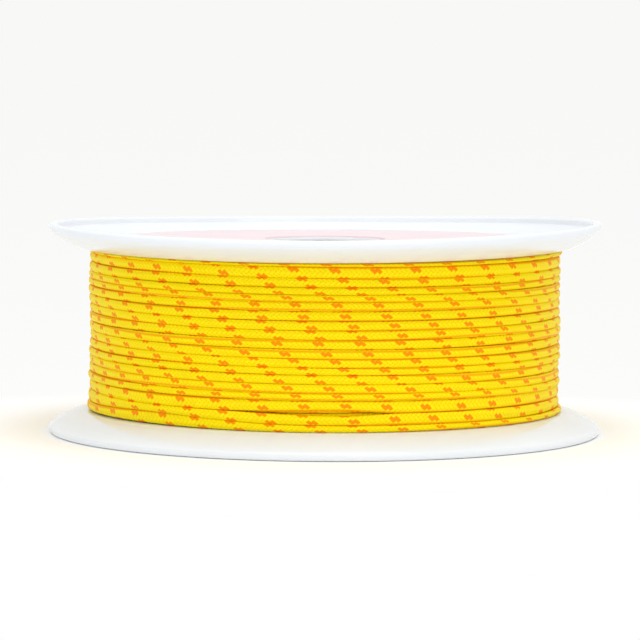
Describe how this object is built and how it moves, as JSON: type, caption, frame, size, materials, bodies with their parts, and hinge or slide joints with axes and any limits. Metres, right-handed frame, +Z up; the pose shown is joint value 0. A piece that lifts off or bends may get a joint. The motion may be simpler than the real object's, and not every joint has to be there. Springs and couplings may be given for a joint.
{
  "type": "fishing line spool",
  "caption": "Round plastic spool with two wide dished flanges on a barrel with an open bore, wound full with braided yellow cord.",
  "frame": {"origin": "on the spool's axis, on the surface that it stands on", "axes": "+Z up along the spool's axis, from the lower flange to the upper flange"},
  "size_m": [0.2, 0.2, 0.075],
  "materials": {
    "flange_plastic": "glossy moulded white",
    "cover_plastic": "glossy moulded white",
    "label_paper": "coated pale pink, plain",
    "sleeve_plastic": "satin moulded white",
    "barrel_plastic": "satin moulded white",
    "braided_cord": "tight braid with orange flecks"
  },
  "bodies": {
    "root": {"lower_flange": "flange_plastic", "upper_flange": "flange_plastic", "lower_cover_disc": "cover_plastic", "upper_cover_disc": "cover_plastic", "lower_label": "label_paper", "upper_label": "label_paper", "lower_hub_sleeve": "sleeve_plastic", "upper_hub_sleeve": "sleeve_plastic", "barrel": "barrel_plastic", "cord_winding": "braided_cord", "cord_start_knot": "braided_cord"}
  },
  "joints": []
}
